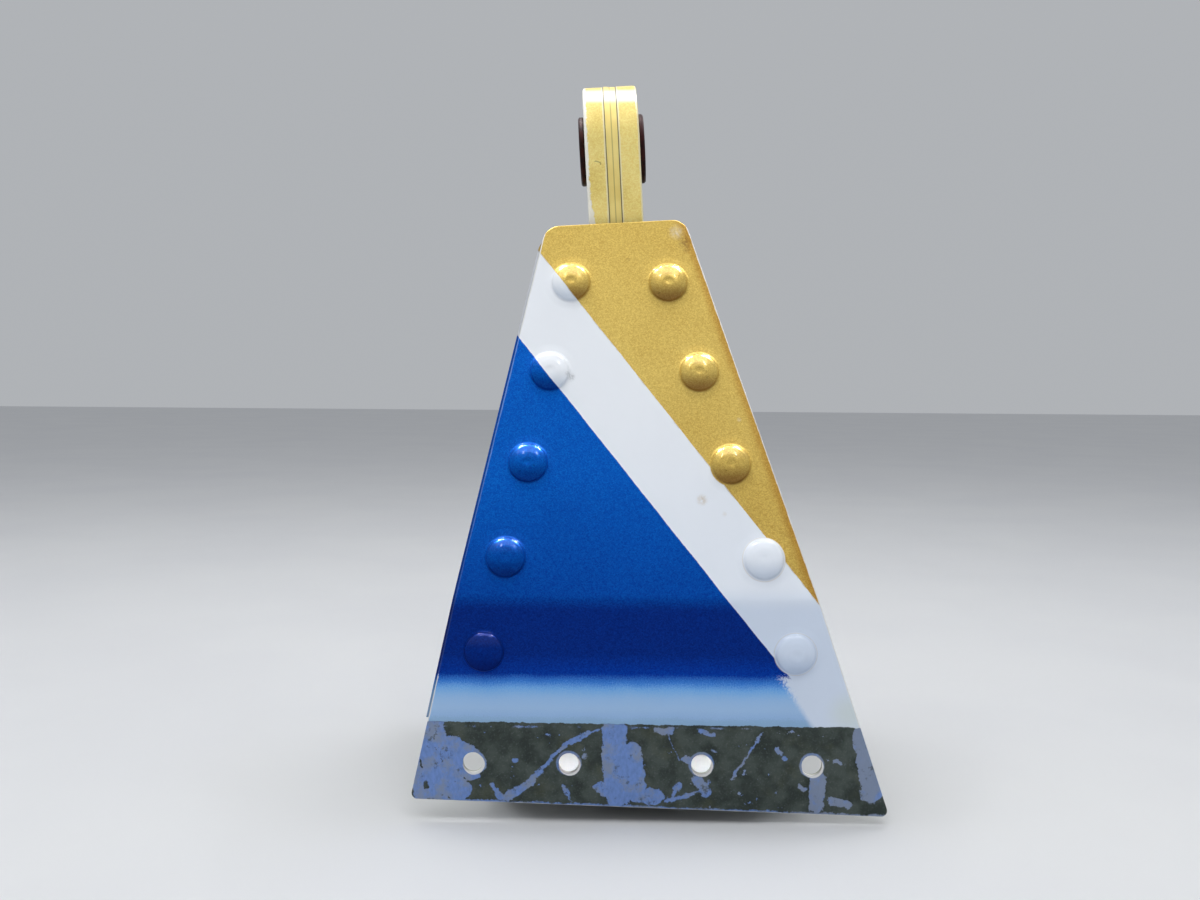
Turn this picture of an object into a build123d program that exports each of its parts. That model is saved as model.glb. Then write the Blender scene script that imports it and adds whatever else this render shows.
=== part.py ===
from build123d import *
import os
from math import cos, radians, sin, tan

os.makedirs("parts", exist_ok=True)

# Hinge bracket of a stabilizer, in millimetres.
# The origin is the middle of the hinge bore. X runs along the base, Y to the back, Z up the arm.
# The arm leans a little to the left of square, so its bore is not quite parallel to the base.
LEFT, RIGHT = -1, 1
FRONT, BACK = -1, 1

# Sheet and plate stock
gusset_thickness = 0.8
rib_thickness = 1.0
arm_plate_thickness = 3.65

# Arm and hinge bore
arm_lean = 3.45
lug_radius = 10.8
bore_radius = 3.175
bushing_radius = 4.75
bushing_flange_radius = 5.95
bushing_flange_thickness = 1.0
bushing_rim_bevel = 0.25
bushing_fit_gap = 0.02
lug_edge_radius = 0.5
rim_tolerance = 0.06
arm_plate_length = 50.0
arm_plate_end_radius = 6.0

# Side outline, seen from the front: widths are taken level, at a height below the bore
top_edge_drop = 13.9
top_half_width = 11.7
side_taper = 0.281
top_corner_radius = 3.0
bottom_corner_radius = 1.0
trim_drop = 108.4
trim_angle = 1.65

# Depth, seen from the side: the sheets lean apart down to the bend and are upright below it
top_half_depth = 11.4
lean_back = 15.2
bend_drop = 74.8
gusset_bend_radius = 4.0
gusset_edge_radius = 0.2

# Ribs
flange_width = 12.0
flange_top_gap = 2.4
flange_end_drop = 94.2
left_flange_proud = 0.4
knee_radius = 8.0
foot_drop = 111.0
foot_length = 11.0
foot_half_width = 14.0
foot_bend_radius = 2.5
foot_corner_radius = 2.0
web_inset = 2.2
rib_bend_radius = 1.0
flange_corner_radius = 3.0

# Holes for the fasteners that join the bracket to the spar and the skin
mate_hole_radius = 1.63
strip_hole_drop = 101.2
strip_hole_places = (-21.4, -6.1, 15.0, 32.6)
foot_hole_spacing = 15.875
foot_hole_inset = 6.5

# Rivets
rivet_rows = 5
first_row_drop = 24.1
row_rise = 14.8
rivet_edge_distance = 6.5
shank_radius = 1.6
rivet_hole_gap = 0.05
rivet_hole_reach = 6.0
head_radius = 3.2
head_height = 1.35
head_rim_height = 0.65
head_flat_radius = 1.7
shop_head_radius = 2.4
shop_head_height = 1.3
shop_head_gap = 1.2
arm_rivet_rows = 3

# Values worked out from the ones above
reach = 200.0
lean_slope = tan(radians(arm_lean))
back_slope = tan(radians(lean_back))
half_depth = top_half_depth + (bend_drop - top_edge_drop) * back_slope
knee_drop = top_edge_drop + (flange_width - top_half_width) / side_taper
stack = rib_thickness + arm_plate_thickness
pin_direction = Vector(cos(radians(arm_lean)), 0, sin(radians(arm_lean)))
arm_side_plane = Plane(origin=(0, 0, 0), x_dir=(0, 1, 0), z_dir=pin_direction)


def arm_x(drop):
    """Place of the arm's middle line at a height below the bore."""
    return drop * lean_slope


def edge_x(side, drop):
    """Side edge of the gussets at a height below the bore."""
    return arm_x(drop) + side * (top_half_width + side_taper * (drop - top_edge_drop))


def web_x(side, drop):
    """Inner face of a rib's web below the knee."""
    return arm_x(drop) + side * side_taper * (drop - knee_drop)


def depth_at(drop, inset=0.0):
    """Distance from the middle plane to a face that lies inset below the gusset's outer face."""
    upper = top_half_depth + (drop - top_edge_drop) * back_slope - inset / cos(radians(lean_back))
    return min(upper, half_depth - inset)


def leg_slope(side):
    """Sideways run of a rib's web for each millimetre down."""
    return lean_slope + side * side_taper


def leg_plane(side, distance, offset):
    """Plane on a leg of the arm, a distance below the knee, facing outwards."""
    run = Vector(leg_slope(side), 0, -1).normalized()
    outwards = Vector(side, 0, side * leg_slope(side)).normalized()
    knee = Vector(arm_x(knee_drop), 0, -knee_drop)
    return Plane(origin=knee + run * distance + outwards * offset, x_dir=(0, 1, 0), z_dir=outwards)


def name_of(side):
    """Word for a side."""
    return "left" if side == LEFT else "right"


def foot_hole_planes(side):
    """Holes in one foot, seen from below."""
    middle = web_x(side, foot_drop) - side * foot_hole_inset
    return [
        Plane(origin=(middle, y, -foot_drop), z_dir=(0, 0, -1))
        for y in (-foot_hole_spacing / 2, foot_hole_spacing / 2)
    ]


def strip_hole_planes():
    """Holes along the bare strip at the foot of the front gusset."""
    return [
        Plane(origin=(x, -half_depth, -strip_hole_drop), z_dir=(0, -1, 0)) for x in strip_hole_places
    ]


def sheet_layer(path, radii, side, near, far):
    """Section of a bent sheet between two depths on one side of a path."""
    with BuildSketch() as section:
        with BuildLine():
            FilletPolyline(*path, radius=radii)
            offset(amount=far, side=side)
        make_face()
        if near > 0:
            with BuildLine():
                FilletPolyline(*path, radius=radii)
                offset(amount=near, side=side)
            make_face(mode=Mode.SUBTRACT)
    return section.sketch


def front_layer(near, far):
    """Section of a sheet at the front, measured inwards from the gusset's outer face."""
    path = [(-depth_at(-reach), reach), (-half_depth, -bend_drop), (-half_depth, -reach)]
    return sheet_layer(path, gusset_bend_radius, Side.LEFT, near, far)


def arm_layer(side, near, far):
    """Section of a sheet that runs down the arm and one leg, measured outwards."""
    top = 2 * lug_radius
    foot_top = foot_drop - rib_thickness
    foot_x = web_x(side, foot_top)
    path = [
        (arm_x(-top), top),
        (arm_x(knee_drop), -knee_drop),
        (foot_x, -foot_top),
        (foot_x - side * foot_length, -foot_top),
    ]
    outwards = Side.RIGHT if side == LEFT else Side.LEFT
    return sheet_layer(path, [knee_radius, foot_bend_radius], outwards, near, far)


def row_planes(side, face):
    """Seats of one row of rivets on the front or back gusset."""
    planes = []
    for row in range(rivet_rows):
        drop = first_row_drop + row * row_rise
        tilt = radians(lean_back) if drop < bend_drop else 0.0
        seat = (edge_x(side, drop) - side * rivet_edge_distance, face * depth_at(drop), -drop)
        planes.append(Plane(origin=seat, x_dir=(1, 0, 0), z_dir=(0, face * cos(tilt), sin(tilt))))
    return planes


def arm_planes(side):
    """Seats of an arm plate's rivets, from where two tails have room to the plate's round end."""
    first = (shop_head_height + shop_head_gap) / side_taper
    last = arm_plate_length - arm_plate_end_radius - knee_drop
    rise = (last - first) / (arm_rivet_rows - 1)
    return [leg_plane(side, first + row * rise, stack) for row in range(arm_rivet_rows)]


def gusset_outline():
    """Outline of a gusset as seen from the front."""
    above, below = 0.0, foot_drop + top_edge_drop
    with BuildSketch() as outline:
        with BuildLine():
            Polyline(
                (edge_x(LEFT, above), -above),
                (edge_x(RIGHT, above), -above),
                (edge_x(RIGHT, below), -below),
                (edge_x(LEFT, below), -below),
                close=True,
            )
        make_face()
        with Locations((arm_x(top_edge_drop), -top_edge_drop)):
            Rectangle(reach, reach, rotation=arm_lean, align=(Align.CENTER, Align.MIN), mode=Mode.SUBTRACT)
        with Locations((arm_x(trim_drop), -trim_drop)):
            Rectangle(reach, reach, rotation=-trim_angle, align=(Align.CENTER, Align.MAX), mode=Mode.SUBTRACT)
        fillet(outline.vertices().sort_by(Axis.Y)[-2:], top_corner_radius)
        fillet(outline.vertices().sort_by(Axis.Y)[:2], bottom_corner_radius)
    return outline.sketch


def flange_outline(side):
    """Outline of a rib's flange as seen from the front."""
    proud = left_flange_proud if side == LEFT else 0.0
    top = top_edge_drop + flange_top_gap
    with BuildSketch() as outline:
        with BuildLine():
            Polyline(
                (web_x(side, top), -top),
                (edge_x(side, top) + side * proud, -top),
                (edge_x(side, flange_end_drop) + side * proud, -flange_end_drop),
                (web_x(side, flange_end_drop), -flange_end_drop),
                close=True,
            )
        make_face()
    return outline.sketch


def web_outline():
    """Outline of a rib's web as seen from the side: lug end, body between the bends and foot."""
    inset = gusset_thickness + web_inset
    top = top_edge_drop + flange_top_gap
    half = [
        (lug_radius, 0),
        (depth_at(top, inset), -top),
        (half_depth - inset, -bend_drop),
        (half_depth - inset, -flange_end_drop),
        (foot_half_width, -foot_drop + foot_bend_radius),
        (foot_half_width, -foot_drop - foot_bend_radius),
    ]
    with BuildSketch() as outline:
        with BuildLine():
            Polyline(*half, *[(-y, z) for y, z in reversed(half)], close=True)
        make_face()
        Circle(lug_radius)
    return outline.sketch


def channel_section():
    """Section between the front and back faces of the ribs, seen from the side."""
    front = front_layer(gusset_thickness, reach)
    with BuildSketch() as section:
        add(front)
        mirror(front, about=Plane.YZ, mode=Mode.INTERSECT)
    return section.sketch


def formed_rib(side):
    """One rib, folded from a single sheet: web with lug end, two flanges and a foot."""
    with BuildPart() as channel:
        with BuildSketch(Plane.YZ):
            add(channel_section())
        extrude(amount=reach, both=True)
        with BuildSketch(Plane.XZ):
            add(flange_outline(side))
        extrude(amount=reach, both=True, mode=Mode.INTERSECT)
        web_face = channel.faces().sort_by(lambda face: side * face.normal_at().X)[0]
        bends = web_face.edges().filter_by(lambda edge: abs(edge.position_at(0.5).Y) > lug_radius)
        fillet(bends, rib_bend_radius + rib_thickness)
        open_side = channel.faces().sort_by(lambda face: side * face.normal_at().X)[-1]
        offset(amount=-rib_thickness, openings=[open_side, *channel.faces().filter_by(Axis.Z)])
        tips = channel.edges().filter_by(Axis.Y).group_by(Axis.Z)[-1].sort_by(Axis.X)
        fillet(tips[:2] if side == LEFT else tips[-2:], flange_corner_radius)
    with BuildPart() as rib:
        with BuildSketch(Plane.XZ):
            add(arm_layer(side, 0, rib_thickness))
        extrude(amount=reach, both=True)
        with BuildSketch(Plane.YZ):
            add(web_outline())
        extrude(amount=reach, both=True, mode=Mode.INTERSECT)
        foot_ends = rib.edges().filter_by(Axis.Z).filter_by(lambda edge: edge.length < 2 * rib_thickness)
        fillet(foot_ends, foot_corner_radius)
        add(channel.part)
        with BuildSketch(arm_side_plane):
            Circle(bushing_radius + bushing_fit_gap)
        extrude(amount=reach, both=True, mode=Mode.SUBTRACT)
        with Locations(*row_planes(side, FRONT), *row_planes(side, BACK)):
            Hole(shank_radius + rivet_hole_gap, depth=rivet_hole_reach)
        with Locations(*arm_planes(side)):
            Hole(shank_radius + rivet_hole_gap, depth=stack + rib_thickness)
        with Locations(*foot_hole_planes(side)):
            Hole(mate_hole_radius, depth=2 * rib_thickness)
        rib.part.label = name_of(side) + "_rib"
    return rib.part


def outer_rim(edges, side):
    """Edges around the outer face of an arm plate, without the two seams of its bend."""
    leg = leg_plane(side, 0, stack)

    def on_rim(edge):
        middle = edge.position_at(0.5)
        off_lug = abs(side * middle.dot(pin_direction) - stack)
        off_leg = abs(leg.to_local_coords(middle).Z)
        above_knee = middle.Z > -knee_drop
        on_face = off_lug < rim_tolerance if above_knee else off_leg < rim_tolerance
        across = edge.geom_type == GeomType.LINE and abs(middle.Y) < rim_tolerance
        return on_face and not (across and middle.Z > -arm_plate_length / 2)

    return edges.filter_by(on_rim)


def arm_plate(side):
    """Thick plate on the outside of the arm, bent to follow its rib."""
    with BuildPart() as plate:
        with BuildSketch(Plane.XZ):
            add(arm_layer(side, rib_thickness, stack))
        extrude(amount=reach, both=True)
        with BuildSketch(arm_side_plane):
            Circle(lug_radius)
            with Locations((0, arm_plate_end_radius - arm_plate_length)):
                Circle(arm_plate_end_radius)
            make_hull()
        extrude(amount=reach, both=True, mode=Mode.INTERSECT)
        fillet(outer_rim(plate.edges(), side), lug_edge_radius)
        with BuildSketch(arm_side_plane):
            Circle(bushing_radius + bushing_fit_gap)
        extrude(amount=reach, both=True, mode=Mode.SUBTRACT)
        with Locations(*arm_planes(side)):
            Hole(shank_radius + rivet_hole_gap, depth=stack + rib_thickness)
        plate.part.label = name_of(side) + "_arm_plate"
    return plate.part


def bushing(side):
    """Flanged bushing, pressed in from one side of the arm."""
    with BuildPart() as bush:
        with BuildSketch(arm_side_plane):
            Circle(bushing_radius)
        extrude(amount=side * stack)
        with BuildSketch(arm_side_plane.offset(side * stack)):
            Circle(bushing_flange_radius)
        extrude(amount=side * bushing_flange_thickness)
        rim = bush.edges().filter_by(GeomType.CIRCLE).group_by(SortBy.RADIUS)[-1]
        chamfer(rim, bushing_rim_bevel)
        with BuildSketch(arm_side_plane):
            Circle(bore_radius)
        extrude(amount=reach, both=True, mode=Mode.SUBTRACT)
        bush.part.label = name_of(side) + "_bushing"
    return bush.part


def rivet(grip):
    """Round head rivet seated at the origin, with its shank and formed tail below."""
    with BuildPart() as body:
        with BuildSketch(Plane.XZ):
            with BuildLine():
                Polyline(
                    (0, head_height),
                    (head_flat_radius, head_height),
                    (head_radius, head_rim_height),
                    (head_radius, 0),
                    (shank_radius, 0),
                    (shank_radius, -grip),
                    (shop_head_radius, -grip),
                    (shop_head_radius, -grip - shop_head_height),
                    (0, -grip - shop_head_height),
                    close=True,
                )
            make_face()
        revolve(axis=Axis.Z)
    return body.part


def rivets(name, planes, grip):
    """A group of like rivets, one on each plane."""
    one = rivet(grip)
    with BuildPart() as group:
        with Locations(*planes):
            add(one)
        group.part.label = name
    return group.part


def outer_border(edges):
    """Edges around the outer face of the front gusset, without the two seams of its bend."""

    def on_border(edge):
        middle = edge.position_at(0.5)
        on_face = abs(middle.Y + depth_at(-middle.Z)) < rim_tolerance
        at_bend = abs(middle.Z + bend_drop) < gusset_bend_radius
        return on_face and not (at_bend and abs(middle.X) < top_half_width)

    return edges.filter_by(on_border)


def gusset_sheet():
    """Thin trapezoid sheet over the front of the ribs, with its rivet holes and strip holes."""
    with BuildPart() as sheet:
        with BuildSketch(Plane.YZ):
            add(front_layer(0, gusset_thickness))
        extrude(amount=reach, both=True)
        with BuildSketch(Plane.XZ):
            add(gusset_outline())
        extrude(amount=reach, both=True, mode=Mode.INTERSECT)
        fillet(outer_border(sheet.edges()), gusset_edge_radius)
        with Locations(*row_planes(LEFT, FRONT), *row_planes(RIGHT, FRONT)):
            Hole(shank_radius + rivet_hole_gap, depth=rivet_hole_reach)
        with Locations(*strip_hole_planes()):
            Hole(mate_hole_radius, depth=rivet_hole_reach)
        sheet.part.label = "front_gusset"
    return sheet.part


front_gusset = gusset_sheet()
back_gusset = mirror(front_gusset, about=Plane.XZ)
back_gusset.label = "back_gusset"
pieces = [front_gusset, back_gusset]
sheet_grip = gusset_thickness + rib_thickness
for side in (LEFT, RIGHT):
    pieces += [
        formed_rib(side),
        arm_plate(side),
        bushing(side),
        rivets("front_" + name_of(side) + "_rivets", row_planes(side, FRONT), sheet_grip),
        rivets("back_" + name_of(side) + "_rivets", row_planes(side, BACK), sheet_grip),
        rivets(name_of(side) + "_arm_rivets", arm_planes(side), stack),
    ]
for piece in pieces:
    export_step(piece, "parts/" + piece.label + ".step")
    print(piece.label, round(piece.volume, 1), len(piece.solids()), piece.is_valid)
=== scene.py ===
from functools import reduce
from math import cos, pi, radians, sin, tan
from random import Random

import bmesh
import bpy
from mathutils import Matrix, Vector


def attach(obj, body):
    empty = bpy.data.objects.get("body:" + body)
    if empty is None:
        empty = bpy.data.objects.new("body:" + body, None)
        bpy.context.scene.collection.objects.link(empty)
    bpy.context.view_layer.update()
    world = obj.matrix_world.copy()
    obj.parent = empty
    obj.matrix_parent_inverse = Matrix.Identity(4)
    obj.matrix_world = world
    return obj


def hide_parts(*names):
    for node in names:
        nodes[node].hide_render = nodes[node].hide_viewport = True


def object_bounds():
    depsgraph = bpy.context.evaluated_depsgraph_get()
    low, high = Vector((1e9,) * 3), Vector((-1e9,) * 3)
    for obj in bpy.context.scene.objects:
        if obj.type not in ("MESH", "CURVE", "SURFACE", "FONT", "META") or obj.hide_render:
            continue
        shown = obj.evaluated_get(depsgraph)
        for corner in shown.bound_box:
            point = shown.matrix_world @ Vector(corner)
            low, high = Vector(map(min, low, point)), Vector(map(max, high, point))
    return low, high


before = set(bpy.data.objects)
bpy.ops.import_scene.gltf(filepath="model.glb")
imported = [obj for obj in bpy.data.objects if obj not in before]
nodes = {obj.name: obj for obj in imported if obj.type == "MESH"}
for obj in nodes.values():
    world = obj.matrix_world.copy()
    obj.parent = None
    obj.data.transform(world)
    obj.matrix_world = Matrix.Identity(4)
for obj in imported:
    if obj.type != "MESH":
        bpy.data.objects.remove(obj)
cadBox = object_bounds()
mm = 0.001
print("frame loaded:", len(nodes), "CAD pieces")

# Camera
# Where the photograph was taken from: a hand's breadth above the strip of holes, looking slightly down
view = {
    "place": (0.25, -227.6, -38.46),  # millimetres from the middle of the hinge bore
    "turn": 0.5,
    "down": 3.63,
    "tilt": 0.42,
    "lens": 38.24,
    "sensor": 36.0,
}

cameraData = bpy.data.cameras.new("camera")
cameraData.lens = view["lens"]
cameraData.sensor_width = view["sensor"]
cameraData.sensor_fit = "HORIZONTAL"
cameraData.clip_start = 0.01
camera = bpy.data.objects.new("camera", cameraData)
camera.matrix_world = (
    Matrix.Translation(Vector(view["place"]) * mm)
    @ Matrix.Rotation(radians(view["turn"]), 4, "Z")
    @ Matrix.Rotation(-radians(view["down"]), 4, "X")
    @ Matrix.Rotation(-radians(view["tilt"]), 4, "Y")
    @ Matrix.Rotation(radians(90), 4, "X")
)
bpy.context.scene.collection.objects.link(camera)
bpy.context.scene.camera = camera
print("camera placed")


# Shader sums: a wire is one value between nodes, and sums on wires add the nodes for them
class Wire:
    def __init__(self, tree, socket):
        self.tree = tree
        self.socket = socket

    def node(self, kind, settings=None, values=None, output=0):
        made = self.tree.nodes.new(kind)
        for name, setting in (settings or {}).items():
            if name == "stops":
                ramp = made.color_ramp
                while len(ramp.elements) < len(setting):
                    ramp.elements.new(1.0)
                for element, (place, colour) in zip(ramp.elements, setting):
                    element.position = place
                    element.color = (*colour, 1)
            else:
                setattr(made, name, setting)
        for name, value in (values or {}).items():
            if isinstance(value, Wire):
                self.tree.links.new(value.socket, made.inputs[name])
            else:
                made.inputs[name].default_value = value
        return Wire(self.tree, made.outputs[output]) if made.outputs else made

    def math(self, operation, *values):
        return self.node("ShaderNodeMath", {"operation": operation}, dict(enumerate(values)))

    def __add__(self, other):
        return self.math("ADD", self, other)

    def __radd__(self, other):
        return self.math("ADD", other, self)

    def __sub__(self, other):
        return self.math("SUBTRACT", self, other)

    def __rsub__(self, other):
        return self.math("SUBTRACT", other, self)

    def __mul__(self, other):
        return self.math("MULTIPLY", self, other)

    def __rmul__(self, other):
        return self.math("MULTIPLY", other, self)

    def __pow__(self, other):
        return self.math("POWER", self, other)

    def __abs__(self):
        return self.math("ABSOLUTE", self)

    def least(self, other):
        return self.math("MINIMUM", self, other)

    def most(self, other):
        return self.math("MAXIMUM", self, other)

    def held(self):  # kept between 0 and 1
        return self.node("ShaderNodeClamp", {}, {0: self})

    def soft(self, start, end, low=0.0, high=1.0):  # an S curve from low at start to high at end
        return self.node(
            "ShaderNodeMapRange", {"interpolation_type": "SMOOTHSTEP"},
            {"Value": self, "From Min": start, "From Max": end, "To Min": low, "To Max": high},
        )


class Finish(Wire):
    def __init__(self, name):
        self.material = bpy.data.materials.new(name)
        self.material.use_nodes = True
        self.tree = self.material.node_tree
        self.tree.nodes.clear()
        place = self.node("ShaderNodeTexCoord", output="Object")
        self.place = self.node(
            "ShaderNodeVectorMath", {"operation": "SCALE"}, {0: place, "Scale": 1 / mm}
        )
        split = self.node("ShaderNodeSeparateXYZ", {}, {0: self.place})
        self.x, self.y, self.z = (Wire(self.tree, out) for out in split.socket.node.outputs)

    def mix(self, share, first, second, blend="MIX"):
        colours = {
            slot: colour if isinstance(colour, Wire) else (*colour, 1)
            for slot, colour in ((6, first), (7, second))
        }
        settings = {"data_type": "RGBA", "blend_type": blend}
        return self.node("ShaderNodeMix", settings, {0: share, **colours}, output=2)

    def stretched(self, sizes):
        return self.node("ShaderNodeMapping", {}, {"Vector": self.place, "Scale": sizes})

    def noise(self, size, detail=3.0, roughness=0.55, place=None, shift=0.0):
        # size is the width of one patch in millimetres
        return self.node(
            "ShaderNodeTexNoise", {"noise_dimensions": "4D"},
            {"Vector": place or self.place, "W": shift, "Scale": 1 / size, "Detail": detail,
             "Roughness": roughness},
        )

    def cells(self, size):  # a random colour for each small cell
        return self.node(
            "ShaderNodeTexVoronoi", {"feature": "F1"}, {"Vector": self.place, "Scale": 1 / size},
            output="Color",
        )

    def grey(self, colour):
        return self.node("ShaderNodeSeparateXYZ", {}, {0: colour})

    def spot(self, x, z, radius, soft=0.5):  # 1 inside a round spot, seen from the front
        away = ((self.x - x) ** 2.0 + (self.z - z) ** 2.0) ** 0.5
        return away.soft(radius + soft, radius - soft)

    def streak(self, start, end, width, shift=(0.0, 0.0)):  # how far inside a long patch a point lies
        runX, runZ = end[0] - start[0], end[1] - start[1]
        length = runX ** 2 + runZ ** 2
        fromX, fromZ = self.x + shift[0] - start[0], self.z + shift[1] - start[1]
        along = ((fromX * runX + fromZ * runZ) * (1 / length)).held()
        return width - ((fromX - along * runX) ** 2.0 + (fromZ - along * runZ) ** 2.0) ** 0.5

    def finish(self, constants, **values):
        shader = self.node("ShaderNodeBsdfPrincipled")
        sockets = shader.socket.node.inputs
        for name, value in constants.items():
            sockets[name].default_value = value
        for name, value in values.items():
            self.tree.links.new(value.socket, sockets[name.replace("_", " ")])
        self.node("ShaderNodeOutputMaterial", {}, {"Surface": shader})
        return self.material

    def bump(self, height, distance=1.0):  # heights and distance in millimetres
        values = {"Height": height, "Distance": distance * mm, "Strength": 1.0}
        return self.node("ShaderNodeBump", {}, values)


# Painted sheets
# The outline and the rows of rivets repeat the driving sizes of the part, in millimetres
sheet = {
    "lean": 3.45,
    "topDrop": 13.9,
    "topHalfWidth": 11.7,
    "taper": 0.281,
    "topHalfDepth": 11.4,
    "leanBack": 15.2,
    "bendDrop": 74.8,
    "holes": (-21.4, -6.1, 15.0, 32.6),
    "holeHeight": -101.2,
    "holeRadius": 1.63,
    "trimDrop": 108.4,
    "trimSlope": 0.0288,
}
rivetRow = {
    "count": 5,
    "firstDrop": 24.1,
    "rise": 14.8,
    "edgeDistance": 6.5,
}
leanSlope = tan(radians(sheet["lean"]))
backSlope = tan(radians(sheet["leanBack"]))

paint = {
    "gold": (0.66, 0.475, 0.125),
    "goldDeep": (0.51, 0.33, 0.068),
    "white": (0.84, 0.87, 0.91),
    "whiteCloud": (0.78, 0.81, 0.86),
    "whiteLowShade": (0.62, 0.70, 0.83),
    "stripeEdgeShadow": (0.36, 0.27, 0.15),
    "blue": (0.002, 0.102, 0.50),
    "blueLow": (0.001, 0.066, 0.38),
    "blueBend": (0.001, 0.022, 0.205),
    "blueFoot": (0.001, 0.038, 0.33),
    "goldEdge": (33.88, 1.244),  # the edges of the stripes: height at the middle and slope
    "blueEdge": (51.76, 1.2205),
    "fade": (  # the blue thins out to a dusty tint below it: height and colour
        (-94.2, (0.25, 0.41, 0.62)),
        (-93.6, (0.29, 0.46, 0.72)),
        (-92.3, (0.335, 0.51, 0.76)),
        (-91.0, (0.30, 0.49, 0.765)),
        (-90.1, (0.245, 0.46, 0.77)),
        (-89.1, (0.15, 0.38, 0.77)),
        (-88.2, (0.035, 0.20, 0.63)),
        (-87.2, (0.003, 0.082, 0.44)),
    ),
    "fadeGrain": 2.2,
    "goldHeads": (-44.0, -45.0),  # below this height a head of the right row is all gold
    "whiteHeads": (-60.0, -61.0),  # and below this one it is all white
    "maskCorner": (28.5, -89.0),  # across and height of a point on the slanting end of the tint
    "maskSlope": 0.65,
    "paintLine": -94.8,
    "primer": (0.072, 0.088, 0.080),
    "primerDark": (0.036, 0.046, 0.042),
    "primerOlive": (0.085, 0.092, 0.062),
    "primerDust": (0.16, 0.18, 0.18),
    "hidden": (0.13, 0.15, 0.075),  # the green primer on the faces that no paint reaches
    "hiddenLight": (0.20, 0.22, 0.125),
    "metal": (0.175, 0.285, 0.60),
    "metalDull": (0.13, 0.21, 0.42),
    "metalGrey": (0.24, 0.28, 0.35),
    "rust": (0.20, 0.10, 0.035),
    "rubbedAndHighlight": (0.74, 0.74, 0.72),
    "rubbedBlueAndHighlight": (0.42, 0.58, 0.85),
    "headShadeGold": (0.34, 0.24, 0.22),  # painted shade on the lower side of the heads
    "headShadeBlue": (0.20, 0.30, 0.42),
    "headShadeWhite": (0.74, 0.79, 0.86),
    "brown": (0.74, 0.58, 0.42),
    "tan": (0.50, 0.38, 0.22),
    "greenish": (0.60, 0.66, 0.50),
    "flakeLight": (1.0, 0.95, 0.8),
    "flakeDark": (0.1, 0.1, 0.12),
}
headFinish = {
    "radius": (3.4, 2.9),
    "upper": (0.6, 2.0),  # heights over the middle between which the gloss begins
    "lower": (0.6, -2.6),  # and between which the painted shade begins
    "darkening": 0.9,
    "ringPitch": 0.85,  # the fine rings left by the tool that set the rivets
    "ringHeight": 0.006,
    "swell": 0.10,
}
gloss = {
    "coat": 0.40,  # over the white, with less over gold and blue and more on their heads
    "lessOnGold": 0.28,
    "lessOnBlue": 0.38,
    "goldHeads": 0.88,
    "blueHeads": 0.45,
    "paintRoughness": 0.42,
    "headPolish": 0.13,
    "primerRoughness": 0.62,
    "metalPolish": 0.2,
    "metallicMetal": 0.6,
    "metallicFlake": 0.22,
    "metallicHeads": 0.15,
}


def byHeight(m, height, stops):  # colour that changes down the sheet, between heights in millimetres
    low, high = -110.0, -10.0
    places = [((place - low) / (high - low), colour) for place, colour in stops]
    return m.node("ShaderNodeValToRGB", {"stops": places}, {0: (height - low) * (1 / (high - low))})


def fromMiddle(m):  # how far a point lies from the arm's leaning middle line, to either side
    return m.x + m.z * leanSlope


def sheetEdges(m):  # how far inside the slanting sides of the sheet a point lies
    half = (m.z * -1.0 - sheet["topDrop"]) * sheet["taper"] + sheet["topHalfWidth"]
    return half - abs(fromMiddle(m))


def rivetPlace(m):  # how far a point lies from the nearest rivet, as seen from the front, and how high
    row = m.math("ROUND", (m.z + rivetRow["firstDrop"]) * (-1 / rivetRow["rise"]))
    step = row.most(0.0).least(rivetRow["count"] - 1.0)
    height = step * -rivetRow["rise"] - rivetRow["firstDrop"]
    reach = (height * -1.0 - sheet["topDrop"]) * sheet["taper"] + (
        sheet["topHalfWidth"] - rivetRow["edgeDistance"]
    )
    across = abs(m.x + height * leanSlope) - reach
    rise = m.z - height
    return (across ** 2.0 + rise ** 2.0) ** 0.5, rise


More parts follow.
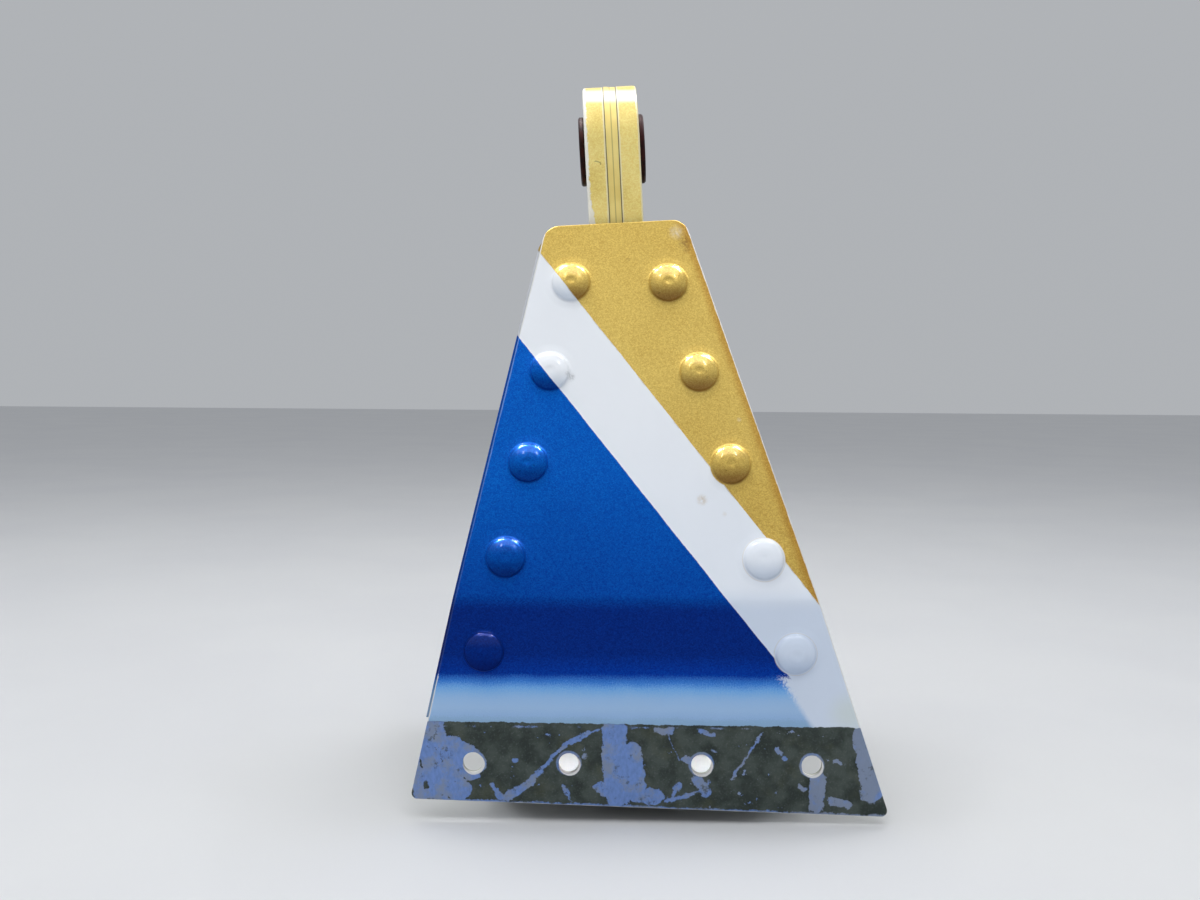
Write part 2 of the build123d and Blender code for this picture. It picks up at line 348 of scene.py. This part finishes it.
def stripes(m):  # the colour of the paint, and the shares of gold and of blue
    wobble = (m.noise(7.0, 1.0) - 0.5) * 0.35 + (m.noise(0.7, 3.0, 0.7) - 0.5) * 0.3
    toGold = m.z + paint["goldEdge"][0] + m.x * paint["goldEdge"][1] + wobble
    toBlue = m.z + paint["blueEdge"][0] + m.x * paint["blueEdge"][1] + wobble
    goldShare = toGold.soft(-0.09, 0.09)
    blueShare = toBlue.soft(0.09, -0.09)

    # the rivets of the right row keep one colour where a stripe ends close to them
    head = rivetPlace(m)[0].soft(3.5, 3.3) * fromMiddle(m).soft(0.0, 1.0)
    whiteHead = head * m.z.soft(*paint["whiteHeads"])
    goldHead = head * m.z.soft(*paint["goldHeads"]) * (1 - whiteHead)
    goldShare = (goldShare * (1 - whiteHead)).most(goldHead)
    blueShare = blueShare * (1 - whiteHead)

    grain = (m.noise(0.22, 2.0, 0.7) - 0.5) * paint["fadeGrain"] + (m.noise(5.0, 2.0) - 0.5) * 0.8
    dusty = m.z + grain
    solid = dusty.soft(-87.5, -86.7)
    masked = (m.z - paint["maskCorner"][1]) * paint["maskSlope"] + m.x - paint["maskCorner"][0]
    masked = masked + (m.noise(0.5, 3.0, 0.7) - 0.5) * m.z.soft(-94.0, -88.0, 0.4, 4.0)
    tinted = dusty.soft(-85.6, -86.6) * masked.soft(0.9, -0.6)

    broad = m.noise(26.0, 2.0)
    gold = m.mix(broad.soft(0.35, 0.7) * 0.5, paint["gold"], paint["goldDeep"])
    # the gold darkens down the sheet as painted shade, and darkens a little near the top
    gold = m.mix(m.z.soft(-38.0, -82.0) * 0.75, gold, paint["goldDeep"])
    gold = m.mix(m.z.soft(-32.0, -14.0) * 0.3, gold, paint["goldDeep"])
    # the blue darkens down the sheet, darkest in a band just below the bend: painted shade
    blue = byHeight(m, m.z, (
        (-110.0, paint["blueFoot"]), (-86.5, paint["blueFoot"]), (-83.5, paint["blueBend"]),
        (-76.5, paint["blueBend"]), (-74.2, paint["blueLow"]), (-56.0, paint["blue"]),
    ))
    blue = m.mix(broad.soft(0.35, 0.75) * 0.2, blue, paint["blueBend"])
    blue = m.mix(m.x.soft(15.0, -25.0) * m.z.soft(-60.0, -80.0) * 0.3, blue, paint["blueBend"])
    white = m.mix(m.noise(18.0, 3.0).soft(0.4, 0.8) * 0.3, paint["white"], paint["whiteCloud"])
    # the white turns greyer and bluer down the sheet, and wholly below the bend: painted shade
    white = m.mix(m.z.soft(-40.0, -72.0) * 0.3, white, paint["whiteLowShade"])
    white = m.mix(m.z.soft(-72.0, -77.0), white, paint["whiteLowShade"])
    green = m.spot(38.5, -92.8, 2.6, 2.2) * 0.35
    colour = m.mix(green, white, paint["greenish"])
    colour = m.mix(tinted, colour, byHeight(m, dusty, paint["fade"]))
    colour = m.mix(blueShare * solid, colour, blue)
    colour = m.mix(goldShare, colour, gold)
    # a thin brown line along the edge of the gold: painted shadow of the raised paint edge
    line = abs(toGold + 0.1).soft(0.16, 0.04) * m.noise(2.5, 3.0, shift=8.0).soft(0.45, 0.6)
    colour = m.mix(line * (1 - head) * 0.5, colour, paint["stripeEdgeShadow"])
    return colour, goldShare, blueShare * solid * (1 - goldShare)


def hiddenPrimer(m):
    return m.mix(m.noise(6.0, 4.0).soft(0.3, 0.7), paint["hidden"], paint["hiddenLight"])


def sparkle(m, colour, flake):  # small light and dark flakes where the paint is metallic
    light = (m.grey(m.cells(0.17)) * 0.6 + m.noise(0.35, 2.0, 0.7) * 0.4 - 0.5) * flake
    colour = m.mix(light.soft(0.0, 0.3) * 0.4, colour, paint["flakeLight"], "SOFT_LIGHT")
    return m.mix(light.soft(0.0, -0.3) * 0.35, colour, paint["flakeDark"], "SOFT_LIGHT")


bareStrip = {
    "patches": (  # start, end and half width of the scraped places, in millimetres
        ((-28.4, -96.4), (-28.0, -106.6), 3.0),
        ((-24.6, -99.6), (-21.9, -101.4), 2.6),
        ((-25.2, -104.2), (-23.6, -105.6), 2.0),
        ((-18.3, -104.8), (-16.9, -106.9), 0.5),
        ((-16.0, -106.9), (-11.8, -103.7), 0.8),
        ((-11.6, -103.5), (-7.0, -98.6), 0.4),
        ((-7.0, -98.6), (-3.2, -96.2), 0.55),
        ((-3.2, -96.2), (0.9, -95.2), 0.3),
        ((-14.9, -101.0), (-14.5, -100.8), 0.5),
        ((-9.4, -96.6), (-9.2, -96.5), 0.35),
        ((-3.6, -100.0), (-3.2, -100.3), 0.5),
        ((-6.9, -104.7), (-6.0, -107.2), 0.3),
        ((1.2, -96.0), (1.6, -106.6), 2.1),
        ((3.7, -99.7), (4.6, -105.0), 2.0),
        ((-0.8, -105.2), (8.0, -106.4), 1.3),
        ((7.8, -95.6), (10.2, -95.9), 0.5),
        ((9.6, -95.9), (11.5, -100.4), 0.2),
        ((12.2, -100.2), (13.4, -101.0), 0.5),
        ((15.0, -95.8), (16.8, -96.3), 0.55),
        ((17.0, -98.8), (17.4, -99.0), 0.35),
        ((14.4, -103.9), (15.6, -105.6), 1.0),
        ((9.6, -107.4), (14.6, -105.4), 0.4),
        ((11.4, -104.2), (10.8, -106.8), 0.4),
        ((19.7, -103.3), (24.8, -96.2), 0.32),
        ((27.0, -98.8), (27.6, -99.4), 0.5),
        ((28.2, -100.0), (28.4, -100.2), 0.3),
        ((36.2, -100.4), (36.8, -100.6), 0.4),
        ((33.6, -103.4), (33.3, -108.0), 1.3),
        ((30.4, -104.6), (31.6, -105.0), 0.4),
        ((35.8, -107.0), (38.4, -107.4), 0.8),
        ((40.6, -96.6), (42.2, -105.6), 1.7),
    ),
    "kept": (  # places where the primer stayed inside the scraped ones
        ((-26.4, -100.4), (-26.1, -101.2), 0.0),
        ((-27.2, -98.8), (-27.0, -99.4), 0.0),
        ((-29.8, -100.8), (-29.5, -102.0), 0.05),
        ((-29.1, -105.0), (-28.9, -105.3), 0.35),
    ),
    "ring": 0.4,
    "rimShift": (0.15, -0.3),  # a painted highlight on the rim below each hole
    "rag": 0.8,
    "warp": 2.4,
    "tapeWear": 0.55,
    "flecks": 0.67,
    "lowEdge": 0.38,
}


def insideSheets(m):  # 1 behind the painted skin, on inner faces and the tails of the rivets
    drop = (m.z * -1.0).most(sheet["topDrop"]).least(sheet["bendDrop"])
    skin = (drop - sheet["topDrop"]) * backSlope + sheet["topHalfDepth"]
    return (skin - abs(m.y)).soft(0.5, 0.7)


def fromHoles(m, shift):  # how far a point lies from the edge of the nearest hole, moved by shift
    rise = m.z - (sheet["holeHeight"] + shift[1])
    gaps = (((m.x - (place + shift[0])) ** 2.0 + rise ** 2.0) ** 0.5 for place in sheet["holes"])
    return reduce(Wire.least, gaps) - sheet["holeRadius"]


def stripWear(m):  # where the primer is off, and where the metal is bright: painted highlight below the holes and along the worn bottom edge
    rag = (m.noise(1.3, 6.0, 0.78) - 0.5) * 2 * bareStrip["rag"]
    warp = [(m.noise(2.4, 3.0, 0.6, shift=way) - 0.5) * bareStrip["warp"] for way in (20.0, 30.0)]
    reach = reduce(Wire.most, (m.streak(*patch, warp) for patch in bareStrip["patches"]))
    for start, end, width in bareStrip["kept"]:
        reach = reach.least(m.streak(start, end, width, warp) * -1.0 + 0.1)
    hole = fromHoles(m, (0.0, 0.0))
    lowRim = fromHoles(m, bareStrip["rimShift"])
    lowEdge = m.z + sheet["trimDrop"] + (m.x - sheet["trimDrop"] * leanSlope) * sheet["trimSlope"]
    tapeEdge = abs(m.z - paint["paintLine"] + bareStrip["tapeWear"])
    patchy = m.noise(4.0, 2.0, shift=11.0).soft(0.5, 0.6)
    scraped = (reach + rag - 0.1).soft(-0.06, 0.08)
    rings = (bareStrip["ring"] - hole + rag * 0.4).soft(-0.1, 0.15)
    along = (bareStrip["lowEdge"] - lowEdge + rag * 1.1).soft(-0.05, 0.1)
    tape = (0.1 - tapeEdge + rag * 1.1).soft(-0.05, 0.1) * patchy
    flecks = m.noise(1.1, 4.0, 0.6, shift=3.0).soft(bareStrip["flecks"], bareStrip["flecks"] + 0.02)
    bright = (0.12 - lowRim.least(lowEdge) + rag * 0.16).soft(-0.05, 0.08)
    return scraped.most(rings).most(along).most(flecks).most(tape), bright


def sheetPaint(name, spots):
    m = Finish(name)
    colour, gold, blue = stripes(m)
    flake = (gold + blue).held()
    colour = sparkle(m, colour, flake)

    # small marks in the paint
    for x, z, radius, strength, stain in spots:
        rough = m.spot(x, z, radius * 0.7, radius * 0.6) * m.noise(0.5, 4.0, 0.7).soft(0.3, 0.65)
        colour = m.mix(rough * strength, colour, paint[stain])

    # paint ends at a ragged line above the strip
    line = m.z - paint["paintLine"] + m.x * 0.006 + (m.noise(1.3, 4.0, 0.65) - 0.5) * 0.9
    painted = line.soft(-0.05, 0.05)

    # edges rubbed through to the metal, with a painted highlight along them
    edge = sheetEdges(m)
    rub = (m.noise(2.2, 4.0, 0.7, shift=7.0) - 0.5) * 0.9
    rubbedAndHighlight = (0.2 - edge + rub * 0.4).soft(-0.05, 0.08)
    bare, bright = stripWear(m)
    primer = m.mix(m.noise(3.0, 4.0).soft(0.35, 0.65), paint["primer"], paint["primerDark"])
    primer = m.mix(m.noise(5.0, 4.0, 0.6, shift=9.0).soft(0.5, 0.7) * 0.5, primer, paint["primerOlive"])
    primer = m.mix(m.noise(0.35, 2.0, 0.7).soft(0.5, 0.8) * 0.35, primer, paint["primerDust"])
    grain = m.noise(0.5, 3.0, place=m.stretched((1.0, 1.0, 0.5)), shift=2.0)
    metal = m.mix(grain.soft(0.3, 0.75) * 0.7, paint["metal"], paint["metalDull"])
    greyed = (m.noise(3.2, 4.0, 0.7, shift=6.0) + m.x.soft(5.0, 45.0) * 0.12).soft(0.45, 0.62) * 0.8
    metal = m.mix(greyed, metal, paint["metalGrey"])
    metal = m.mix(m.noise(2.0, 5.0, 0.75, shift=5.0).soft(0.56, 0.66) * 0.75, metal, paint["primer"])
    # painted highlight below the holes and along the bottom edge, on worn metal
    metal = m.mix(bright, metal, paint["rubbedAndHighlight"])
    under = m.mix(bare.most(bright), primer, metal)

    # heads of the rivets: painted shade below, and rings from the tool that formed them
    distance, rise = rivetPlace(m)
    head = distance.soft(*headFinish["radius"])
    upper = head * rise.soft(*headFinish["upper"])
    lower = head * rise.soft(*headFinish["lower"])
    rings = m.math("SINE", distance * (2 * pi / headFinish["ringPitch"])) * head
    darkening = m.mix(gold, m.mix(blue, paint["headShadeWhite"], paint["headShadeBlue"]), paint["headShadeGold"])
    colour = m.mix(lower * headFinish["darkening"], colour, darkening, "MULTIPLY")

    brown = (edge + rub * 0.3).soft(2.0, 0.3) * gold * fromMiddle(m).soft(0.0, 1.0)
    colour = m.mix(brown * 0.8, colour, paint["brown"], "MULTIPLY")
    colour = m.mix(painted, under, colour)
    # pale line along the slanting edges: rubbed paint and painted highlight
    worn = rubbedAndHighlight * painted * (0.9 - blue * m.z.soft(-40.0, -80.0, 0.6, 0.85))
    colour = m.mix(worn, colour, m.mix(blue, paint["rubbedAndHighlight"], paint["rubbedBlueAndHighlight"]))
    inner = insideSheets(m)
    colour = m.mix(inner, colour, hiddenPrimer(m))
    painted = painted * (1 - inner)

    # gloss, and the heights of paint, primer, rings and flakes
    shine = (1 - painted) * bare * (1 - inner)
    roughness = (1 - painted) * (gloss["primerRoughness"] - bare * gloss["metalPolish"])
    roughness = roughness + painted * (gloss["paintRoughness"] - head * flake * gloss["headPolish"])
    roughness = roughness + (m.noise(0.8, 3.0) - 0.5) * 0.1
    metallic = painted * flake * (head * gloss["metallicHeads"] + gloss["metallicFlake"])
    metallic = shine * gloss["metallicMetal"] + metallic
    coat = gloss["coat"] - gold * gloss["lessOnGold"] - blue * gloss["lessOnBlue"]
    coat = painted * (coat + upper * (gold * gloss["goldHeads"] + blue * gloss["blueHeads"]))
    height = painted * 0.09 + (1 - painted) * (1 - bare) * 0.035 + (m.noise(3.0, 2.0) - 0.5) * 0.01
    swell = distance.soft(4.6, 3.1) * headFinish["swell"]
    flakes = m.grey(m.cells(0.25)) * flake * painted * 0.004
    return m.finish(
        {"Coat Roughness": 0.08, "Coat IOR": 1.5, "IOR": 1.45, "Specular IOR Level": 0.04},
        Base_Color=colour, Roughness=roughness, Metallic=metallic, Coat_Weight=coat,
        Normal=m.bump(height + flakes + swell + rings * headFinish["ringHeight"]),
    )


frontSpots = (  # across, height, radius, strength and colour of the small marks
    (10.9, -15.4, 1.3, 0.45, "rubbedAndHighlight"),
    (12.2, -17.0, 1.3, 0.75, "rust"),
    (12.6, -18.4, 0.7, 0.6, "rust"),
    (14.9, -59.3, 0.9, 0.6, "tan"),
    (18.5, -61.5, 0.4, 0.3, "tan"),
    (2.8, -20.2, 0.4, 0.5, "rust"),
    (-6.4, -39.8, 0.7, 0.5, "primer"),
    (-7.0, -39.2, 0.4, 0.4, "primer"),
    (21.0, -46.5, 0.4, 0.4, "rubbedAndHighlight"),
)
backSpots = ((4.0, -48.0, 0.9, 0.4, "rust"), (-2.0, -27.0, 0.5, 0.5, "primer"))
frontPaint = sheetPaint("frontPaint", frontSpots)
backPaint = sheetPaint("backPaint", backSpots)
nodes["front_gusset"].data.materials[0] = frontPaint
nodes["back_gusset"].data.materials[0] = backPaint
print("sheets painted")

# Ribs, arm and bushings
arm = {
    "halfWeb": 1.0,
    "half": 4.65,
    "lugRadius": 10.8,
    "narrowing": 0.098,  # lost from the half depth for each millimetre below the bore
    # lighter than the gold of the sheets: painted light on the top of the part
    "gold": (0.92, 0.75, 0.27),
    "goldDark": (0.80, 0.62, 0.19),
    "cream": (0.86, 0.80, 0.55),
    "chipAndHighlight": (0.90, 0.89, 0.83),
    "darkening": (0.035, 0.03, 0.02),
    "wornStrip": 0.55,
    "wornStripLow": 1.15,
    "crown": 8.0,  # height of the painted highlight band over the top of the lug
    "scratch": ((-2.7, -3.75), (-2.1, -3.95), 0.22),  # start, end and half width of a small curl
}
rib = {
    "primerStreak": (0.09, 0.085, 0.06),
    "edgePaint": 1.6,
    "goldFrom": (-24.0, -17.0),  # heights between which the gold of the arm begins
    "rimShade": (0.30, 0.30, 0.34),
    "rimShare": 0.55,
}
bushing = {
    "bronze": (0.040, 0.010, 0.010),
    "bronzeDark": (0.014, 0.006, 0.008),
    "worn": (0.25, 0.10, 0.05),
}


def alongPin(m):  # distance to the right of the middle plane of the leaning arm
    return m.x * cos(radians(sheet["lean"])) + m.z * sin(radians(sheet["lean"]))


def armGold(m):
    return m.mix(m.noise(9.0, 3.0).soft(0.35, 0.65), arm["gold"], arm["goldDark"])


def armPaint():
    m = Finish("armPaint")
    along = alongPin(m)
    across = abs(along)
    colour = sparkle(m, armGold(m), 1.0)
    rub = m.noise(1.8, 4.0, 0.7)
    ragged = (rub - 0.5) * 1.0
    depth = (m.y ** 2.0 + m.z.most(0.0) ** 2.0) ** 0.5
    rim = arm["lugRadius"] + m.z.least(0.0) * arm["narrowing"] - depth
    rim = (rim + ragged * 0.4).soft(0.9, 0.5)
    lip = (across - arm["half"] + 0.3 + ragged * 0.3).soft(-0.05, 0.1) * rim
    inner = (arm["halfWeb"] + 0.42 - across + ragged * 0.3).soft(-0.05, 0.1)
    worn = m.z.soft(-9.5, -13.5, arm["wornStrip"], arm["wornStripLow"])
    strip = (worn - arm["half"] - along + (m.noise(0.9, 5.0, 0.75) - 0.5) * 1.3).soft(-0.08, 0.12) * rim
    crown = abs(m.z - arm["crown"]).soft(1.7, 0.8) * rim
    seam = (arm["halfWeb"] + 0.16 - across + ragged * 0.08).soft(-0.04, 0.05)
    chips = m.noise(1.4, 4.0, 0.65, shift=4.0).soft(0.69, 0.73)
    bare = strip.most(chips)
    # cream along the outer edge of the rim and beside the web: painted highlight
    colour = m.mix(lip.most(inner) * 0.7, colour, arm["cream"])
    # chips and the worn strip, and a painted highlight band over the top of the lug
    colour = m.mix((bare * 0.9).most(crown * 0.7), colour, arm["chipAndHighlight"])
    scratch = abs(m.streak(*arm["scratch"])).soft(0.12, 0.04)
    scratch = scratch * (m.z + m.x * 0.5 + 5.05).soft(-0.15, 0.05)
    colour = m.mix(scratch * 0.5, colour, arm["darkening"])
    colour = m.mix(seam * 0.9, colour, arm["darkening"])
    roughness = 0.36 + (rub - 0.5) * 0.2 + bare * 0.1
    height = (1 - bare) * 0.05 + m.noise(2.5, 2.0) * 0.05
    return m.finish(
        {"Coat Roughness": 0.25, "Coat IOR": 1.5, "Specular IOR Level": 0.08},
        Base_Color=colour, Roughness=roughness, Metallic=0.06 - bare * 0.06,
        Coat_Weight=crown * 0.1 + 0.05, Normal=m.bump(height),
    )


def ribPaint():
    m = Finish("ribPaint")
    paintColour, gold, blue = stripes(m)
    paintColour = sparkle(m, paintColour, (gold + blue).held())
    streaks = m.noise(3.0, 4.0, place=m.stretched((1.0, 1.0, 0.2)), shift=6.0)
    primer = m.mix(streaks.soft(0.55, 0.75) * 0.4, hiddenPrimer(m), rib["primerStreak"])
    edge = sheetEdges(m) + (m.noise(2.5, 4.0) - 0.5) * 1.6
    outside = edge.soft(rib["edgePaint"] + 0.6, rib["edgePaint"] - 0.6)
    above = (m.z + (m.noise(3.0, 3.0) - 0.5) * 5.0).soft(*rib["goldFrom"])
    above = above * abs(fromMiddle(m)).soft(6.0, 5.0)
    colour = m.mix(outside, primer, paintColour)
    colour = m.mix(above, colour, armGold(m))
    painted = outside.most(above)
    seam = (0.09 - abs(alongPin(m))).soft(-0.05, 0.05) * above
    colour = m.mix(seam * 0.4, colour, arm["darkening"])
    # painted highlight band over the top of the webs
    crown = abs(m.z - arm["crown"]).soft(1.8, 0.6) * above
    colour = m.mix(crown * 0.6, colour, arm["chipAndHighlight"])
    rim = sheetEdges(m).soft(0.1, -0.05) * (1 - above) * rib["rimShare"]
    colour = m.mix(rim, colour, rib["rimShade"], "MULTIPLY")
    roughness = 0.7 - painted * 0.3
    height = m.noise(0.7, 3.0) * 0.012 + painted * 0.05
    return m.finish(
        {"Coat Roughness": 0.15, "Specular IOR Level": 0.12},
        Base_Color=colour, Roughness=roughness, Metallic=painted * 0.1,
        Coat_Weight=painted * 0.1, Normal=m.bump(height),
    )


def bushingBronze():
    m = Finish("bushingBronze")
    blotch = m.noise(1.6, 4.0, 0.65)
    colour = m.mix(blotch.soft(0.35, 0.65), bushing["bronze"], bushing["bronzeDark"])
    worn = m.noise(0.9, 4.0, 0.7, shift=2.0).soft(0.64, 0.72)
    colour = m.mix(worn * 0.5, colour, bushing["worn"])
    roughness = 0.45 + (blotch - 0.5) * 0.3
    return m.finish(
        {"Specular IOR Level": 0.1},
        Base_Color=colour, Roughness=roughness, Metallic=0.35 + worn * 0.3,
        Normal=m.bump(blotch, 0.03),
    )


ribMaterial = ribPaint()
armMaterial = armPaint()
bushingMaterial = bushingBronze()
for side in ("left", "right"):
    nodes[side + "_rib"].data.materials[0] = ribMaterial
    nodes[side + "_arm_plate"].data.materials[0] = armMaterial
    nodes[side + "_bushing"].data.materials[0] = bushingMaterial
print("ribs, arm plates and bushings finished")

# Rivets, spun smooth, with the soft ring of paint that lies round each head
rivet = {
    "headRadius": 3.15,
    "headHeight": 1.34,
    "paintRing": 0.42,
    "ringHeight": 0.3,
    "dimpleRadius": 0.62,
    "dimpleDepth": 0.16,
    "shankRadius": 1.6,
    "tailRadius": 2.4,
    "tailHeight": 1.3,
    "tailRound": 0.35,
    "wheelSteps": 48,
    "domeSteps": 12,
    "weld": 0.002,
    "sharpAngle": 50,
    "sheetGrip": 1.8,
    "armGrip": 4.65,
    "armPlaces": (8.9, 18.965, 29.03),  # down the arm's leg, below the knee
    "kneeDrop": 14.968,
}


def spunRivet(grip, chance):
    shape = bmesh.new()
    ring, radius, top = rivet["paintRing"], rivet["headRadius"], rivet["headHeight"]
    lift = rivet["ringHeight"]
    outline = [(radius + ring, 0.0), (radius + ring * 0.4, lift * 0.2), (radius + ring * 0.1, lift * 0.55)]
    for step in range(rivet["domeSteps"] + 1):
        angle = pi / 2 * (1 - step / rivet["domeSteps"])
        across = radius * sin(angle)
        height = lift + (top - lift) * cos(angle)
        if across < rivet["dimpleRadius"]:
            height -= rivet["dimpleDepth"] * (1 - (across / rivet["dimpleRadius"]) ** 2)
        outline.append((across, height))
    under = [
        (0.0, -grip - rivet["tailHeight"]),
        (rivet["tailRadius"] - rivet["tailRound"], -grip - rivet["tailHeight"]),
        (rivet["tailRadius"], -grip - rivet["tailHeight"] + rivet["tailRound"]),
        (rivet["tailRadius"], -grip),
        (rivet["shankRadius"], -grip),
        (rivet["shankRadius"], 0.0),
    ]
    points = [shape.verts.new((across * mm, 0, height * mm)) for across, height in outline + under]
    crown = points[len(outline) - 1]  # the top point on the axis, which no line joins to the tail
    lines = [
        shape.edges.new(pair) for pair in zip(points, points[1:] + points[:1]) if pair[0] != crown
    ]
    bmesh.ops.spin(
        shape, geom=points + lines, axis=(0, 0, 1), cent=(0, 0, 0), steps=rivet["wheelSteps"],
        angle=2 * pi, use_merge=True,
    )
    bmesh.ops.remove_doubles(shape, verts=shape.verts, dist=rivet["weld"] * mm)
    bmesh.ops.recalc_face_normals(shape, faces=shape.faces)
    bmesh.ops.rotate(shape, verts=shape.verts, cent=(0, 0, 0),
                     matrix=Matrix.Rotation(chance.uniform(0, 2 * pi), 3, "Z"))
    return shape


def rivetGroup(node, seats, grip, material):
    chance = Random(node)
    group = bpy.data.meshes.new(node + "Heads")
    whole = bmesh.new()
    for seat, outwards in seats:
        one = spunRivet(grip, chance)
        turn = outwards.to_track_quat("Z", "Y").to_matrix().to_4x4()
        bmesh.ops.transform(one, verts=one.verts, matrix=Matrix.Translation(seat * mm) @ turn)
        holder = bpy.data.meshes.new("holder")
        one.to_mesh(holder)
        one.free()
        whole.from_mesh(holder)
        bpy.data.meshes.remove(holder)
    for face in whole.faces:
        face.smooth = True
    whole.to_mesh(group)
    whole.free()
    group.set_sharp_from_angle(angle=radians(rivet["sharpAngle"]))
    group.materials.append(material)
    piece = bpy.data.objects.new(node.replace("_", "") + "Heads", group)
    bpy.context.scene.collection.objects.link(piece)
    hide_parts(node)
    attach(piece, "root")
    return piece


def rowSeats(side, face):
    seats = []
    for row in range(rivetRow["count"]):
        drop = rivetRow["firstDrop"] + row * rivetRow["rise"]
        above = drop < sheet["bendDrop"]
        half = sheet["topHalfWidth"] + sheet["taper"] * (drop - sheet["topDrop"])
        depth = sheet["topHalfDepth"] + (min(drop, sheet["bendDrop"]) - sheet["topDrop"]) * backSlope
        tilt = radians(sheet["leanBack"]) if above else 0.0
        across = drop * leanSlope + side * (half - rivetRow["edgeDistance"])
        seats.append((Vector((across, face * depth, -drop)), Vector((0, face * cos(tilt), sin(tilt)))))
    return seats


def armSeats(side):
    slope = leanSlope + side * sheet["taper"]
    down = Vector((slope, 0, -1)).normalized()
    outwards = Vector((side, 0, side * slope)).normalized()
    knee = Vector((rivet["kneeDrop"] * leanSlope, 0, -rivet["kneeDrop"]))
    return [(knee + down * place + outwards * rivet["armGrip"], outwards) for place in rivet["armPlaces"]]


for side, sideName in ((-1, "left"), (1, "right")):
    for face, faceName, material in ((-1, "front", frontPaint), (1, "back", backPaint)):
        node = faceName + "_" + sideName + "_rivets"
        rivetGroup(node, rowSeats(side, face), rivet["sheetGrip"], material)
    node = sideName + "_arm_rivets"
    rivetGroup(node, armSeats(side), rivet["armGrip"], ribMaterial)
print("rivets spun")

# Floor and light
stage = {
    "floor": (0.66, 0.67, 0.685),
    "floorShade": (0.64, 0.65, 0.67),
    "floorWidth": 4.0,
    "air": (0.80, 0.83, 0.87),
    "zenith": (0.95, 0.97, 1.0),
    "airStrength": 0.54,
}

floorShape = bmesh.new()
bmesh.ops.create_grid(floorShape, x_segments=1, y_segments=1, size=stage["floorWidth"] / 2)
bmesh.ops.translate(floorShape, verts=floorShape.verts, vec=(0, 0, cadBox[0].z))
floorMesh = bpy.data.meshes.new("floor")
floorShape.to_mesh(floorMesh)
floorShape.free()
floor = bpy.data.objects.new("floor", floorMesh)
bpy.context.scene.collection.objects.link(floor)
floorFinish = Finish("floorFinish")
floorTone = floorFinish.mix(
    floorFinish.noise(60.0, 3.0).soft(0.3, 0.7), stage["floor"], stage["floorShade"]
)
floorMesh.materials.append(
    floorFinish.finish({"Roughness": 0.6, "Specular IOR Level": 0.0}, Base_Color=floorTone)
)

world = bpy.data.worlds.new("studio")
world.use_nodes = True
world.node_tree.nodes.clear()
air = Wire(world.node_tree, None)
direction = air.node("ShaderNodeTexCoord", output="Generated")
upward = air.node("ShaderNodeSeparateXYZ", {}, {0: direction}, output=2)
tone = air.node(
    "ShaderNodeMix", {"data_type": "RGBA"},
    {0: upward.soft(0.15, 0.95), 6: (*stage["air"], 1), 7: (*stage["zenith"], 1)}, output=2,
)
glow = air.node("ShaderNodeBackground", {}, {"Color": tone, "Strength": stage["airStrength"]})
air.node("ShaderNodeOutputWorld", {}, {"Surface": glow})
bpy.context.scene.world = world
bpy.context.scene.view_settings.view_transform = "Standard"

lamps = {  # place and aim in millimetres from the hinge bore, width and height in metres, power in watts
    "frontSoft": {"place": (-40, -210, 370), "aim": (5, 0, -60), "size": (0.50, 0.28), "power": 0.92},
    "backLeft": {"place": (-175, 75, 400), "aim": (0, 0, -20), "size": (0.21, 0.008), "power": 0.42},
    "backRight": {"place": (190, 75, 400), "aim": (0, 0, -20), "size": (0.21, 0.008), "power": 0.42},
    "backMiddle": {"place": (0, 100, 400), "aim": (0, 0, 0), "size": (0.05, 0.16), "power": 0.25},
    "leftTube": {"place": (-120, -310, 290), "aim": (0, 0, -50), "size": (0.012, 0.08), "power": 0.12},
    "rightTube": {"place": (130, -300, 290), "aim": (0, 0, -50), "size": (0.012, 0.08), "power": 0.12},
    "archLeft": {"place": (-190, 95, 400), "aim": (0, 0, -40), "size": (0.24, 0.030), "power": 7.5},
    "archRight": {"place": (200, 95, 400), "aim": (0, 0, -40), "size": (0.24, 0.030), "power": 7.5},
    "nearLeft": {"place": (-110, 0, 400), "aim": (0, 0, -40), "size": (0.10, 0.012), "power": 0.6},
    "nearRight": {"place": (110, 0, 400), "aim": (0, 0, -40), "size": (0.10, 0.012), "power": 0.6},
}
shineOnly = ("archLeft", "archRight", "nearLeft", "nearRight")  # lamps that only the gloss shows
# The two middle holes look on to patches of floor with a lamp over them, behind the sheet
holeLight = {
    "patches": ((-7.1, 3.2), (17.3, 3.2)),
    "setBack": 22.0,
    "above": 19.0,
    "width": 14.0,
    "blend": 0.3,
    "radius": 0.3,
    "power": 0.067,
}
for name, lamp in lamps.items():
    lampData = bpy.data.lights.new(name, "AREA")
    lampData.shape = "RECTANGLE"
    lampData.size, lampData.size_y = lamp["size"]
    lampData.energy = lamp["power"]
    lampObject = bpy.data.objects.new(name, lampData)
    place = Vector(lamp["place"]) * mm
    aim = Vector(lamp["aim"]) * mm
    lampObject.matrix_world = (
        Matrix.Translation(place) @ (aim - place).to_track_quat("-Z", "Y").to_matrix().to_4x4()
    )
    lampObject.visible_diffuse = name not in shineOnly
    bpy.context.scene.collection.objects.link(lampObject)
for x, y in holeLight["patches"]:
    beam = bpy.data.lights.new("holeLight", "SPOT")
    beam.spot_size = radians(holeLight["width"])
    beam.spot_blend = holeLight["blend"]
    beam.shadow_soft_size = holeLight["radius"] * mm
    beam.energy = holeLight["power"]
    beamObject = bpy.data.objects.new("holeLight", beam)
    patch = Vector((x * mm, y * mm, cadBox[0].z))
    start = patch + Vector((0, -holeLight["setBack"], holeLight["above"])) * mm
    beamObject.matrix_world = (
        Matrix.Translation(start) @ (patch - start).to_track_quat("-Z", "Y").to_matrix().to_4x4()
    )
    bpy.context.scene.collection.objects.link(beamObject)
print("floor and lamps set")
